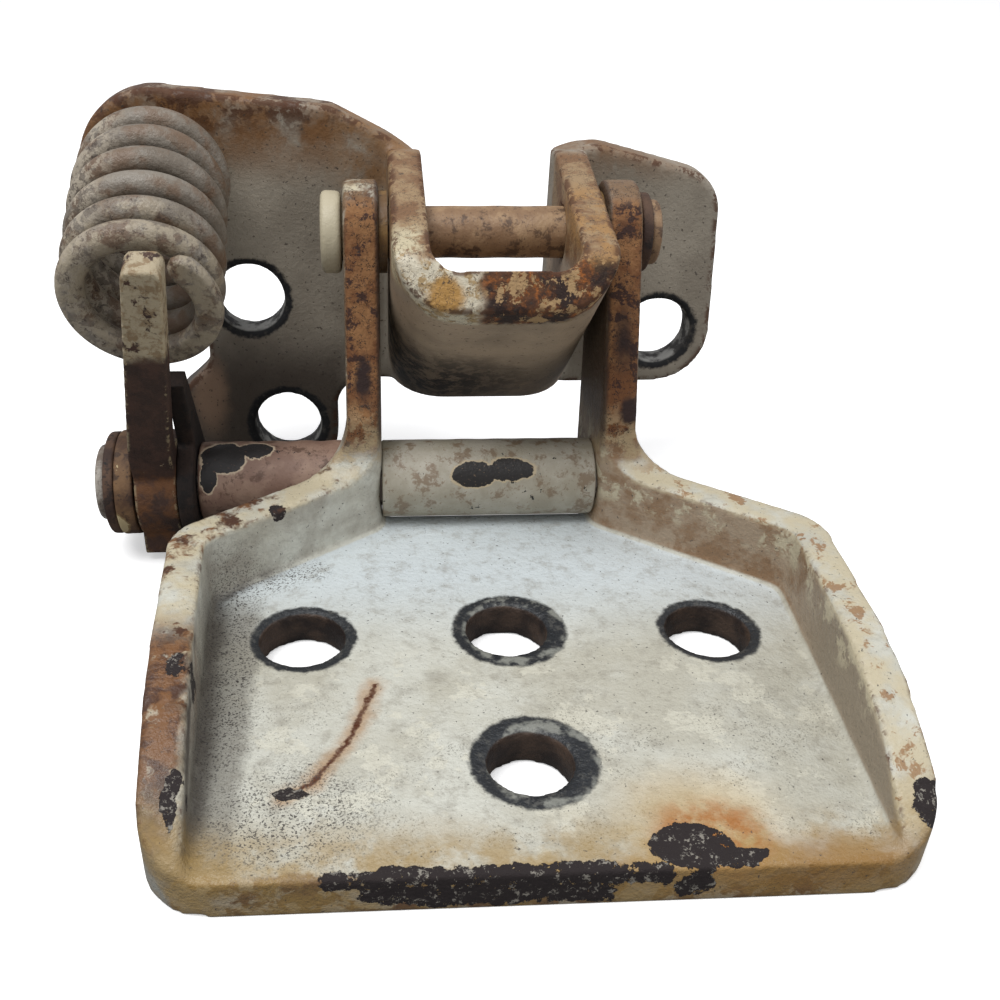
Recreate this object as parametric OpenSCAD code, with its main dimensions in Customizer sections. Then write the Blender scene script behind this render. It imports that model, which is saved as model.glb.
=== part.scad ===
// Door hinge with a sprung check lever, shown open at a right angle.
// Millimetres, +Z up. The origin is midway between the two outer bolt holes of the
// door plate, on its mounting face. X runs along the hinge pin, Y towards the body plate.

/* [Plates] */
// Thickness of both stampings
plate_t = 5.5; // [4.5:0.5:6.5]
// Distance between the inner faces of the two arms
arm_gap = 35; // [33:1:40]
// Mean play between an arm and the bracket that swings inside it
side_play = 1.1; // [1:0.1:2]
// How far the bracket sits off the middle, towards the right arm
bracket_shift = 0.5; // [0:0.1:0.5]

/* [Door plate] */
// Width of the floor between the side walls, at the rear corners
floor_w = 87; // [84:1:100]
// Width of the floor at the front edge
floor_front_w = 81; // [78:1:84]
// From the outer holes forward to the front edge
front_reach = 43.5; // [42:0.5:52]
// From the outer holes back to the rear corners of the side walls
corner_back = 9.5; // [9:0.5:14]
// From the outer holes back to where the side walls meet the arms
wall_back = 29; // [27:0.1:31.5]
// From the outer holes back to the rear edge of the floor, under the cross tube
floor_back = 33.4; // [32:0.1:34]
// Height of the side walls above the mounting face
rim_h = 16.5; // [14:0.5:19]
// Distance between the two outer holes
hole_pitch = 59; // [54:1:62]
// Diameter of the two outer holes
outer_hole_d = 12; // [10:0.5:13]
// Diameter of the middle hole
mid_hole_d = 11.6; // [10:0.2:13]
// Diameter of the front hole
front_hole_d = 10.8; // [9:0.2:12]
// How far the middle hole sits behind the outer ones
mid_hole_back = 1.1; // [0:0.1:2]
// How far the front hole sits in front of the outer ones
front_hole_fwd = 26; // [22:1:30]

/* [Pivots] */
// Hinge pin axis, behind the outer holes
pivot_y = 45.5; // [45:0.5:52]
// Hinge pin axis, above the door face
pivot_z = 50.3; // [46:0.1:60]
// Radius of the arm ends round the hinge pin
arm_end_r = 8; // [7.5:0.5:9]
// Hinge pin diameter
pin_d = 8; // [6:0.5:9]
// Diameter of the hinge pin heads
pin_head_d = 12.6; // [11.4:0.2:14]
// Wall of the bushes in the arms and in the lever
bush_wall = 1; // [0.8:0.1:1.5]
// Cross pin axis, behind the outer holes
shaft_y = 34.5; // [34:0.5:38]
// Room between the floor and the cross tube
tube_lift = 0.1; // [0.1:0.1:1]
// Cross pin diameter
cross_pin_d = 9; // [7:0.5:9.5]
// Outer diameter of the cross tube and of the spacer sleeve
tube_d = 12.8; // [12:0.2:14]

/* [Body plate] */
// Gap between the hinge pin axis and the front face of the wings
leaf_back = 14.5; // [14:0.5:20]
// Height of the left wing's top edge over the bracket's top edge
wing_rise = 7; // [4:0.5:8]
// Slope of the bracket's lower wall, in degrees below level
web_slope = 42; // [39:1:45]
// Diameter of the three body bolt holes
body_hole_d = 12; // [10:0.5:13]
// Upper left hole, left of the middle
hole_a_x = 40; // [39:0.5:42]
// Upper left hole, above the door face
hole_a_z = 34; // [32:0.5:35]
// Lower left hole, left of the middle
hole_b_x = 34.5; // [33:0.5:35]
// Lower left hole, above the door face
hole_b_z = 9.5; // [8.5:0.5:10.5]
// Right hole, right of the middle
hole_c_x = 33; // [32.5:0.5:35]
// Right hole, above the door face
hole_c_z = 27.5; // [26:0.5:28]
// Metal left round the lower left and right holes
hole_edge = 9.2; // [8.5:0.1:9.4]

/* [Check lever] */
// Middle of the lever's hub, left of the middle of the hinge
hub_x = 53.4; // [53:0.1:60]
// Length of the hub along the cross pin
hub_l = 6.6; // [6:0.2:7]
// Radius of the hub, the collar and the backing plate
hub_r = 8.6; // [8:0.1:8.9]
// How far the lever leans forward, in degrees
lever_lean = 19; // [15:1:20]
// Length of the lever from the cross pin axis to its tip
lever_l = 47; // [43:1:52]
// Depth of the lever bar, front to back
lever_depth = 5; // [4:0.5:7]
// Width of the lever at the hub
lever_root_w = 6.6; // [5.5:0.1:6.6]
// Width of the lever at its tip
lever_tip_w = 5.4; // [4:0.1:6]
// How far the tip is cranked towards the middle
lever_crank = 4.6; // [3:0.2:5]
// Length of the backing plate's finger from the cross pin axis, short of the spring's end ring
finger_l = 21.5; // [16:0.5:21.5]

/* [Spring] */
// Outer diameter of the coil spring
spring_d = 24; // [22:0.5:25]
// Wire diameter
wire_d = 4.2; // [3.5:0.1:4.4]
// Number of turns
turns = 6.6; // [5:0.1:6.9]
// Middle of the spring's seat, left of the middle of the hinge
seat_x = 53.2; // [53:0.1:54]
// Middle of the spring's seat, above the door face
seat_z = 55.9; // [55:0.1:57]

/* [Hidden] */
$fn = 72;

// Fits
press = 0.02;              // radial room of a pressed joint
running = 0.05;            // radial room of a turning joint
face_gap = 0.3;            // room between faces that pass each other
sit = 0.05;                // room between faces that are clamped together
cut = 1;                   // how far a cutting shape runs past a face

// Door plate
arm_in = arm_gap / 2;
arm_out = arm_in + plate_t;
shaft_z = plate_t + tube_lift + tube_d / 2;     // cross pin axis, above the door face
wall_run = [floor_w / 2 - arm_in, wall_back - corner_back];
wall_normal = [wall_run[1], wall_run[0]] / norm(wall_run);
mitre = plate_t * (1 - wall_normal[0]) / wall_normal[1];
arm_rear = pivot_y + arm_end_r + cut;
arm_top = pivot_z + arm_end_r;
foot_over = 1;             // how much larger the foot's rounding is than the cross pin's height
foot_r = shaft_z + foot_over;
arm_inset = 0.2;           // how far the arm's front face lies behind the tube's front
arm_front = shaft_y - tube_d / 2 + arm_inset;
knee_rise = 9;             // from the rim up to the knee in the arm's front
knee_z = rim_h + knee_rise;
rim_flat = 31.5;           // length of the curved stretch of the rim
rim_drop = rim_h - plate_t;
rim_r = (rim_flat * rim_flat + rim_drop * rim_drop) / (2 * rim_drop);
arm_step_r = 4;            // fillet at the front of the arm's foot
step_r = 8;                // fillet where the rim turns up into the arm

// Body plate
leaf_y = pivot_y + leaf_back;
leaf_rear = leaf_y + plate_t;
bracket_out = arm_in - side_play;
bracket_in = bracket_out - plate_t;
hole_a = [hole_a_x, hole_a_z];
hole_b = [hole_b_x, hole_b_z];
hole_c = [hole_c_x, hole_c_z];
seat = [seat_x, seat_z];
nose_fwd = 24.5;           // from the hinge pin axis forward to the bracket's nose
nose_drop = 4.1;           // from the hinge pin axis down to the underside of the nose
nose_land = [3, 7.9];      // where the nose's front edge ends, from its underside
pin_cover = 10.2;          // bracket above the hinge pin axis
bracket_nose = [pivot_y - nose_fwd, pivot_z - nose_drop];
bracket_top = pivot_z + pin_cover;
bracket_rise = 0.3;        // bracket's lower edge above the rim left round the right wing's hole
bracket_low = hole_c[1] - hole_edge + bracket_rise;
nose_top = bracket_nose + nose_land;
fold_r = 5;
web_corner_r = 9.5;
foot_gap = 0.3;            // room under the left wing's foot
foot_w = 19.5;             // left wing's foot, left of the lower hole
wing_top = bracket_top + wing_rise;
lobe_rim = 1;              // how far the lobe reaches past the spring
lobe_r = spring_d / 2 + lobe_rim;
waist_edge = 8;            // from the upper hole's middle out to the waist
waist_x = hole_a[0] + waist_edge;

// Lever group, from the hub outwards
hub_left = -hub_x - hub_l / 2;
hub_right = -hub_x + hub_l / 2;
backing_t = 2.7;
finger_w = 3.6;                     // width of the backing plate's finger at its tip
backing_right = hub_right + sit + backing_t;
collar_t = 2.9;
collar_left = hub_left - face_gap - collar_t;
washer_t = 1.7;
washer_under = 0.2;                 // how much smaller a washer is than what it sits on
washer_left = collar_left - sit - washer_t;
rivet_h = 1.7;
rivet_r = 6.2;
rivet_round = 1;                    // rounded edge of the cross pin's riveted end
cross_r = cross_pin_d / 2;
lever_back = 2 * face_gap;           // rear face of the bar, in front of the hub's middle
heel_z = 1.6;                       // underside of the hub's flat heel
heel_w = 12;                        // length of the heel, front to back

// Hinge pin
pin_r = pin_d / 2;
head_r = pin_head_d / 2;
head_t = 3.2;
head_round = 1.2;          // rounded edge of the head
rivet_over = 1;            // how much wider the riveted end is than the pin
bush_r = pin_r + running + bush_wall;

// Spring: its middle line leaves the seat level, bends down and meets the lever squarely
wire_r = wire_d / 2;
coil_r = spring_d / 2 - wire_r;
lever_dir = [-sin(lever_lean), cos(lever_lean)];
lever_face = [-cos(lever_lean), -sin(lever_lean)];
ring_up = 34.4;                     // along the lever from the cross pin to the ring's middle
ring_ease = 0.7;                    // room for the end ring's slant behind the lever
ring_shift = lever_back - face_gap - ring_ease - wire_r;
ring_side = 1.2;                    // how far the end ring lies right of the seat
ring_mid = [-seat[0] + ring_side,
            shaft_y + ring_up * lever_dir[0] + ring_shift * lever_face[0],
            shaft_z + ring_up * lever_dir[1] + ring_shift * lever_face[1]];
seat_tilt = 2;
ring_lay = 1;                       // how much steeper the end ring lies than the lever, in degrees
ring_tilt = lever_lean + ring_lay;
seat_mid = [-seat[0], leaf_y - wire_r - face_gap - coil_r * sin(seat_tilt), seat[1]];
bend_len = norm(seat_mid - ring_mid) / 3;
seat_bend = seat_mid + bend_len * [0, -cos(seat_tilt), -sin(seat_tilt)];
ring_bend = ring_mid - bend_len * [0, -cos(ring_tilt), -sin(ring_tilt)];
coil_start = 200;                   // where the wire begins on its turn, in degrees
end_turns = 0.6;
end_pitch = 1.03;                   // pitch of the closed ends, in wire diameters
ring_steps = 20;                    // rings of the sweep in each turn
wire_sides = 8;
stud_r = 4;                         // shank of the stud in the wing
stud_guide = 6;                     // how far the stud reaches into the spring
stud_play = 1.8;                    // room between the stud's head and the coils

// A corner of an outline, rounded to radius p[2] with a short arc
function corner(a, p, b, n = 8) =
    let (q = [p[0], p[1]],
         u = ([a[0], a[1]] - q) / norm([a[0], a[1]] - q),
         v = ([b[0], b[1]] - q) / norm([b[0], b[1]] - q),
         half = acos(u * v) / 2,
         mid = q + (u + v) / norm(u + v) * p[2] / sin(half),
         from = q + u * p[2] / tan(half) - mid,
         turn = (u[0] * v[1] - u[1] * v[0] > 0 ? -1 : 1) * (180 - 2 * half))
    p[2] == 0 ? [q] :
    [for (i = [0:n]) let (w = turn * i / n)
        mid + [from[0] * cos(w) - from[1] * sin(w), from[0] * sin(w) + from[1] * cos(w)]];

// An outline from a list of [x, y, corner radius]
function rounded(pts) =
    let (m = len(pts))
    [for (k = [0:m - 1]) each corner(pts[(k + m - 1) % m], pts[k], pts[(k + 1) % m])];

// Where the tangent from point q touches a circle, on the left or right side
function touch(q, mid, r, side) =
    let (d = mid - q, reach = norm(d), a = atan2(d[1], d[0]) + side * asin(r / reach))
    q + sqrt(reach * reach - r * r) * [cos(a), sin(a)];

// Points of an arc of n steps from angle a0 to a1, measured from the first axis
function arc(mid, r, a0, a1, n) =
    [for (i = [0:n]) let (a = a0 + (a1 - a0) * i / n) mid + r * [cos(a), sin(a)]];

// The right half of an outline followed by its mirror image
function both_sides(pts) =
    concat(pts, [for (k = [len(pts) - 1:-1:0]) [-pts[k][0], pts[k][1], pts[k][2]]]);

// Extrudes an outline drawn in Y and Z along X, from x0 to x1
module along_x(x0, x1) {
    translate([x0, 0, 0]) rotate([90, 0, 90]) linear_extrude(height = x1 - x0) children();
}

// Extrudes an outline drawn in X and Z along Y, from y0 to y1
module along_y(y0, y1) {
    translate([0, y1, 0]) rotate([90, 0, 0]) linear_extrude(height = y1 - y0) children();
}

// A round bar along X
module rod(y, z, x0, x1, r) {
    translate([x0, y, z]) rotate([0, 90, 0]) cylinder(r = r, h = x1 - x0);
}

// A ring along X
module ring(y, z, x0, x1, r, bore) {
    difference() {
        rod(y, z, x0, x1, r);
        rod(y, z, x0 - cut, x1 + cut, bore);
    }
}

// A round bar along X whose edge at x1 is turned to a quarter round
module domed(y, z, x0, x1, r, edge) {
    h = abs(x1 - x0);
    translate([x0, y, z]) rotate([0, x1 > x0 ? 90 : -90, 0]) rotate_extrude() union() {
        square([r, h - edge]);
        square([r - edge, h]);
        translate([r - edge, h - edge]) intersection() {
            circle(r = edge);
            square(edge);
        }
    }
}

// ---- Door plate ----

// Outer plan of the stamping, rounded at its corners
module door_outline() {
    polygon(rounded(both_sides([
        [floor_front_w / 2 + plate_t, -front_reach, 8],
        [floor_w / 2 + plate_t, corner_back + mitre, 8],
        [arm_out, wall_back + mitre, 9],
        [arm_out, arm_rear, 0]])));
}

// Plan of the hollow between the walls, open at the front and between the arms
module door_hollow() {
    polygon(rounded(both_sides([
        [floor_front_w / 2, -front_reach - cut, 0],
        [floor_w / 2, corner_back, 4],
        [arm_in, wall_back, 4],
        [arm_in, arm_rear + cut, 0]])));
}

// Side view of the stamping: the falling rim, the wall and the arm
module door_profile() {
    front = -front_reach;
    pivot = [pivot_y, pivot_z];
    knee = [arm_front, knee_z];
    rear = [shaft_y + foot_r, shaft_z];
    on_front = touch(knee, pivot, arm_end_r, 1) - pivot;
    on_rear = touch(rear, pivot, arm_end_r, -1) - pivot;
    rim_sweep = asin(rim_flat / rim_r);
    polygon(concat(
        [[front, 0]],
        arc([front + rim_flat, rim_h - rim_r], rim_r, 90 + rim_sweep, 90, 16),
        arc([arm_front - arm_step_r, rim_h + arm_step_r], arm_step_r, -90, 0, 8),
        [knee],
        arc(pivot, arm_end_r, atan2(on_front[1], on_front[0]), atan2(on_rear[1], on_rear[0]), 32),
        arc([shaft_y, shaft_z], foot_r, 0, -asin(shaft_z / foot_r), 12)));
}

// Front view of the stamping: low walls that sweep up into the two arms
module door_front_view() {
    wide = floor_w;
    polygon(concat(
        [[wide, 0], [wide, rim_h]],
        arc([arm_out + step_r, rim_h + step_r], step_r, -90, -180, 10),
        [[arm_out, arm_top + cut], [-arm_out, arm_top + cut]],
        arc([-arm_out - step_r, rim_h + step_r], step_r, 0, -90, 10),
        [[-wide, rim_h], [-wide, 0]]));
}

module door_hole(x, y, d) {
    translate([x, y, -cut]) cylinder(d = d, h = plate_t + 2 * cut);
}

module door_plate() {
    color("gainsboro") difference() {
        intersection() {
            linear_extrude(height = arm_top + cut) door_outline();
            along_x(-floor_w, floor_w) door_profile();
            along_y(-front_reach - cut, arm_rear) door_front_view();
        }
        translate([0, 0, plate_t]) linear_extrude(height = arm_top + cut) door_hollow();
        translate([-arm_in, floor_back, -cut]) cube([arm_gap, arm_rear, arm_top]);
        for (side = [-1, 1]) door_hole(side * hole_pitch / 2, 0, outer_hole_d);
        door_hole(0, mid_hole_back, mid_hole_d);
        door_hole(0, -front_hole_fwd, front_hole_d);
        rod(pivot_y, pivot_z, -floor_w, floor_w, bush_r + press);
        rod(shaft_y, shaft_z, -floor_w, floor_w, cross_r + press);
        rod(shaft_y, shaft_z, -floor_w, -arm_out, tube_d / 2 + sit);
    }
}

// ---- Body plate ----

// Front view of the left wing: a lobe round the spring, a waist and a foot
module left_wing() {
    foot_x = -hole_b[0] - foot_w;
    translate([-seat[0], seat[1]]) circle(r = lobe_r);
    polygon(rounded([
        [-seat[0], seat[1] + lobe_r, 0],
        [-25, wing_top - 1.2, 7],
        [-bracket_out, bracket_top + 1.5, 3],
        [bracket_shift - bracket_in, bracket_top - 2, 0],
        [bracket_shift - bracket_in, bracket_low, 0],
        [-hole_b[0] + hole_edge, bracket_low, 6],
        [-hole_b[0] + hole_edge, foot_gap, 7],
        [foot_x, foot_gap, 6],
        [foot_x, hole_b[1] + 6.5, 3],
        [-waist_x, hole_b[1] + 12, 4],
        [-waist_x, hole_a[1] - 1, 9],
        [-seat[0] - lobe_r, seat[1] - lobe_r * 0.6, 8],
        [-seat[0] - lobe_r, seat[1], 0]]));
}

// Front view of the right wing
module right_wing() {
    edge_x = hole_c[0] + hole_edge + 1.4;
    low = hole_c[1] - hole_edge - 0.8;
    polygon(rounded([
        [bracket_in + bracket_shift, bracket_top - 1, 0],
        [bracket_out + 3, bracket_top, 4],
        [edge_x - 2.5, bracket_top - 5.5, 8],
        [edge_x, low, 9.5],
        [bracket_out, low, 0],
        [bracket_in + bracket_shift, bracket_low, 0]]));
}

// Plan of one wing, from inside the bracket's side wall outwards
module wing_plan(reach) {
    translate([bracket_in - bracket_shift, leaf_y]) square([reach, plate_t]);
}

// Plan of what the fold's outer bend leaves out of the rear corner
module fold_cut() {
    polygon(concat(
        [[bracket_in - cut, leaf_rear + cut], [bracket_in - cut, leaf_rear - fold_r]],
        arc([bracket_in + fold_r, leaf_rear - fold_r], fold_r, 180, 90, 10),
        [[bracket_in + fold_r, leaf_rear + cut]]));
}

// Side view of the bracket
module bracket_profile() {
    polygon(rounded([
        [bracket_nose[0] - 1.5, bracket_nose[1] - 4, 0],
        [nose_top[0], nose_top[1], 3.5],
        [leaf_y - 3, bracket_top, 5],
        [leaf_rear, bracket_top - 2.6, 3],
        [leaf_rear, bracket_low, 0],
        [bracket_nose[0] + 8, bracket_low, 0]]));
}

// A channel with the bracket's slope, inset from its outside and rounded at its two lower edges
module channel(inset, over) {
    tall = 90;             // past both ends of the bracket
    half = bracket_out - inset;
    translate([bracket_shift, bracket_nose[0], bracket_nose[1]]) rotate([-(90 + web_slope), 0, 0])
        translate([0, 0, -tall]) linear_extrude(height = 2 * tall) polygon(rounded([
            [-half, -tall - over, 0], [-half, -inset, web_corner_r - inset],
            [half, -inset, web_corner_r - inset], [half, -tall - over, 0]]));
}

module body_hole(x, z) {
    along_y(leaf_y - cut, leaf_rear + cut) translate([x, z]) circle(d = body_hole_d);
}

module body_plate() {
    tall = wing_top + lobe_r;
    color("silver") difference() {
        union() {
            intersection() {
                channel(0, 0);
                along_x(-arm_in, arm_in) bracket_profile();
            }
            intersection() {
                mirror([1, 0, 0]) linear_extrude(height = tall) wing_plan(seat[0] + 2 * lobe_r);
                along_y(leaf_y, leaf_rear) left_wing();
            }
            intersection() {
                linear_extrude(height = tall) wing_plan(seat[0] + 2 * lobe_r);
                along_y(leaf_y, leaf_rear) right_wing();
            }
        }
        channel(plate_t, cut);
        translate([bracket_shift, 0, 0]) for (side = [0, 1]) mirror([side, 0, 0])
            linear_extrude(height = tall) fold_cut();
        body_hole(-hole_a[0], hole_a[1]);
        body_hole(-hole_b[0], hole_b[1]);
        body_hole(hole_c[0], hole_c[1]);
        rod(pivot_y, pivot_z, -arm_gap, arm_gap, pin_r + press);
        along_y(leaf_y - cut, leaf_rear + cut) translate([-seat[0], seat[1]]) circle(r = stud_r + press);
    }
}

// ---- Hinge pin and its bushes ----

module hinge_pin() {
    color("rosybrown") union() {
        rod(pivot_y, pivot_z, -arm_out - face_gap, arm_out + face_gap + washer_t + rivet_h, pin_r);
        domed(pivot_y, pivot_z, -arm_out - face_gap, -arm_out - face_gap - head_t, head_r, head_round);
        domed(pivot_y, pivot_z, arm_out + face_gap + washer_t + sit,
              arm_out + face_gap + washer_t + sit + rivet_h, pin_r + rivet_over, rivet_over);
    }
}

module pin_washer() {
    color("saddlebrown") ring(pivot_y, pivot_z, arm_out + face_gap, arm_out + face_gap + washer_t,
                              head_r - washer_under, pin_r + press);
}

// A sleeve in one arm, with a thin collar on the arm's inner face
module pin_bush(side) {
    inner = arm_in - (side_play - side * bracket_shift - face_gap);
    color("darkgoldenrod") mirror([side < 0 ? 1 : 0, 0, 0]) difference() {
        union() {
            rod(pivot_y, pivot_z, inner, arm_out, bush_r);
            rod(pivot_y, pivot_z, inner, arm_in - press, head_r);
        }
        rod(pivot_y, pivot_z, inner - cut, arm_out + cut, pin_r + running);
    }
}

// ---- Cross pin and what it holds ----

module cross_pin() {
    color("dimgray") union() {
        rod(shaft_y, shaft_z, washer_left, arm_out, cross_r);
        domed(shaft_y, shaft_z, washer_left - sit, washer_left - rivet_h, rivet_r, rivet_round);
        rod(shaft_y, shaft_z, washer_left - sit, washer_left, cross_r);
    }
}

module cross_tube() {
    color("lightgray") ring(shaft_y, shaft_z, -arm_in + sit, arm_in - sit, tube_d / 2, cross_r + press);
}

module spacer_sleeve() {
    color("rosybrown") ring(shaft_y, shaft_z, backing_right + face_gap, -arm_out - sit,
                                tube_d / 2, cross_r + press);
}

// A side plate that turns with the lever, with a tapered finger behind its bar
module backing_plate() {
    heel = [finger_w, finger_l];
    meet = touch(heel, [0, 0], hub_r, 1);
    disc = arc([0, 0], hub_r, 90, 360 + atan2(meet[1], meet[0]), 48);
    color("sienna") difference() {
        along_x(hub_right + sit, backing_right) translate([shaft_y, shaft_z]) rotate(lever_lean)
            polygon(concat([[0, finger_l]], disc, [heel]));
        rod(shaft_y, shaft_z, hub_right, backing_right + cut, cross_r + running);
    }
}

module thrust_collar() {
    color("peru") ring(shaft_y, shaft_z, collar_left, collar_left + collar_t, hub_r, cross_r + press);
}

module end_washer() {
    color("saddlebrown") ring(shaft_y, shaft_z, washer_left, washer_left + washer_t,
                              hub_r - washer_under, cross_r + press);
}

// ---- Check lever ----

// Front view of the bar in its own leaning plane, cranked towards the middle
module lever_face_plan() {
    root_mid = -hub_x;
    tip_mid = root_mid + lever_crank;
    polygon(rounded([
        [root_mid - lever_root_w / 2, 0, 0],
        [root_mid - lever_root_w / 2, hub_r + 3, 4],
        [tip_mid - lever_tip_w / 2, lever_l, 1.5],
        [tip_mid + lever_tip_w / 2, lever_l, 1.5],
        [root_mid + lever_root_w / 2, hub_r + 3, 4],
        [root_mid + lever_root_w / 2, 0, 0]]));
}

module check_lever() {
    color("sienna") difference() {
        union() {
            rod(shaft_y, shaft_z, hub_left, hub_right, hub_r);
            translate([hub_left, shaft_y - heel_w / 2, heel_z]) cube([hub_l, heel_w, shaft_z - heel_z]);
            translate([0, shaft_y, shaft_z]) rotate([lever_lean, 0, 0])
                along_y(-lever_back - lever_depth, -lever_back) lever_face_plan();
        }
        rod(shaft_y, shaft_z, hub_left - cut, hub_right + cut, cross_r + running + bush_wall + press);
    }
}

module lever_bush() {
    color("darkgoldenrod") ring(shaft_y, shaft_z, hub_left, hub_right,
                                cross_r + running + bush_wall, cross_r + running);
}

// ---- Spring ----

// Share of the spring's length reached after u turns: closed ends, open middle
function climb(u) =
    let (close = end_pitch * wire_d,
         total = norm(seat_mid - ring_mid),
         open = (total - 2 * end_turns * close) / (turns - 2 * end_turns),
         a = min(u, end_turns),
         c = max(0, u - (turns - end_turns)),
         b = u - a - c)
    (a * close + b * open + c * close) / total;

// A point of the spring's middle line, which bends both ways between the seat and the ring
function axis_point(s) =
    let (t = 1 - s)
    t * t * t * seat_mid + 3 * t * t * s * seat_bend + 3 * t * s * s * ring_bend + s * s * s * ring_mid;

// How far the middle line points below level
function axis_tilt(s) =
    let (t = 1 - s, start = seat_bend - seat_mid, middle = ring_bend - seat_bend, end = ring_mid - ring_bend,
         d = t * t * start + 2 * t * s * middle + s * s * end)
    atan2(-d[2], -d[1]);

// One ring of points round the wire after u turns
function wire_ring(u) =
    let (s = climb(u), mid = axis_point(s), tilt = axis_tilt(s), w = 360 * u + coil_start,
         across = [1, 0, 0],
         up = [0, -sin(tilt), cos(tilt)],
         along = [0, -cos(tilt), -sin(tilt)],
         out = cos(w) * across + sin(w) * up)
    [for (k = [0:wire_sides - 1]) let (v = 360 * k / wire_sides)
        mid + (coil_r + wire_r * cos(v)) * out + wire_r * sin(v) * along];

module coil_spring() {
    rings = round(turns * ring_steps);
    pts = [for (i = [0:rings]) each wire_ring(turns * i / rings)];
    sides = [for (i = [0:rings - 1]) for (k = [0:wire_sides - 1])
        let (a = i * wire_sides + k, b = i * wire_sides + (k + 1) % wire_sides)
        [a, b, b + wire_sides, a + wire_sides]];
    first = [for (k = [wire_sides - 1:-1:0]) k];
    last = [for (k = [0:wire_sides - 1]) rings * wire_sides + k];
    color("darkgray") polyhedron(points = pts, faces = concat([first], sides, [last]));
}

// A stud riveted flush in the wing, which centres the spring on its seat
module spring_stud() {
    color("slategray") translate([-seat[0], leaf_rear, seat[1]]) rotate([90, 0, 0]) union() {
        cylinder(r = stud_r, h = plate_t + stud_guide);
        translate([0, 0, plate_t + sit]) cylinder(r = coil_r - wire_r - stud_play, h = stud_guide - sit);
    }
}

door_plate();
body_plate();
hinge_pin();
pin_washer();
pin_bush(-1);  // pin_bush_left
pin_bush(1);  // pin_bush_right
cross_pin();
cross_tube();
spacer_sleeve();
backing_plate();
thrust_collar();
end_washer();
check_lever();
lever_bush();
coil_spring();
spring_stud();
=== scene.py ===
"""The looks of the door hinge: rounded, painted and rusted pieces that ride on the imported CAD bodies.

Lengths are in millimetres until they become mesh vertices, which are in metres."""

import math
from types import SimpleNamespace

import bmesh
import bpy
import numpy as np
from mathutils import Matrix, Vector


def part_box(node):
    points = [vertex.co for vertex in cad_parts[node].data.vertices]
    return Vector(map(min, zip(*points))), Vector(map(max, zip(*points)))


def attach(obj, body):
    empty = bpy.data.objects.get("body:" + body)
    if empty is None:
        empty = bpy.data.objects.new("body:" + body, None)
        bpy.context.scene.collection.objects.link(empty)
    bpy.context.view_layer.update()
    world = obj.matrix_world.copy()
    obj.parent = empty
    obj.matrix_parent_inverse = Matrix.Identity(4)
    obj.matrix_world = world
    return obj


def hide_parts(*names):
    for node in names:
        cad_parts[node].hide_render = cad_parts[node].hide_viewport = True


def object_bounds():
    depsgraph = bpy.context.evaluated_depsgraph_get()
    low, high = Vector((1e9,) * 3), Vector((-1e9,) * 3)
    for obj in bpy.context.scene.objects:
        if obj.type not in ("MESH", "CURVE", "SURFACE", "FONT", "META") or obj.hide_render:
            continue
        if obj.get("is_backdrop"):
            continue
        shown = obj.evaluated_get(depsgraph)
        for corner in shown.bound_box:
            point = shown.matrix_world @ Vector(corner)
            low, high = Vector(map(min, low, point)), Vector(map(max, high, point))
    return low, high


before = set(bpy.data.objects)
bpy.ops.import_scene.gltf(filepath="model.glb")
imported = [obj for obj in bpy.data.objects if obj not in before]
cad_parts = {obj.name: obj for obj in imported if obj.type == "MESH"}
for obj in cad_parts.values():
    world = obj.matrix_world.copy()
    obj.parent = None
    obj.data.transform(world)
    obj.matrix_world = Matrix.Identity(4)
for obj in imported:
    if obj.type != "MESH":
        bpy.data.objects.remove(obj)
cad_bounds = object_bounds()

MM = 0.001


def box_mm(node):
    """Lowest and highest corner of a CAD node, in millimetres."""
    low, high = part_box(node)
    return np.array(low) / MM, np.array(high) / MM


def middle(node):
    """Middle of a CAD node's box, in millimetres."""
    low, high = box_mm(node)
    return (low + high) / 2


# ---------------------------------------------------------------- sizes taken from the frame
PIVOT = middle("hinge_pin")
SHAFT = middle("cross_tube")
STUD = middle("spring_stud")
PIN_LOW, PIN_HIGH = box_mm("hinge_pin")
PLATE = 5.5
LEAF_FRONT = box_mm("body_plate")[1][1] - PLATE
ARM_IN = 17.5
ARM_OUT = ARM_IN + PLATE

# ---------------------------------------------------------------- camera
CAMERA_PLACE = (-19.37, -125.94, 103.0)
CAMERA_YAW = math.radians(4.04)
CAMERA_PITCH = math.radians(31.71)
CAMERA_ROLL = math.radians(1.21)
FILM = 36.0
FOCAL = 1.1 * FILM
SHIFT = (0.0627, 0.0198)


def set_camera():
    """Turns the camera by yaw to the right, pitch down and roll, and makes it the scene's own."""
    sy, cy = math.sin(CAMERA_YAW), math.cos(CAMERA_YAW)
    sp, cp = math.sin(CAMERA_PITCH), math.cos(CAMERA_PITCH)
    ahead = Vector((sy * cp, cy * cp, -sp))
    level = Vector((cy, -sy, 0))
    above = level.cross(ahead)
    right = math.cos(CAMERA_ROLL) * level + math.sin(CAMERA_ROLL) * above
    up = math.cos(CAMERA_ROLL) * above - math.sin(CAMERA_ROLL) * level
    turn = Matrix((right, up, -ahead)).transposed()
    data = bpy.data.cameras.new("camera")
    data.lens = FOCAL
    data.sensor_width = FILM
    data.shift_x, data.shift_y = SHIFT
    data.clip_start = 0.005
    camera = bpy.data.objects.new("camera", data)
    camera.matrix_world = Matrix.Translation(Vector(CAMERA_PLACE) * MM) @ turn.to_4x4()
    bpy.context.collection.objects.link(camera)
    bpy.context.scene.camera = camera


# ---------------------------------------------------------------- node helpers
def linear(code):
    """A linear colour from an sRGB hex code such as 'c8b27a'."""
    parts = [int(code[k:k + 2], 16) / 255 for k in (0, 2, 4)]
    return (*[c / 12.92 if c <= 0.04045 else ((c + 0.055) / 1.055) ** 2.4 for c in parts], 1.0)


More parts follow.
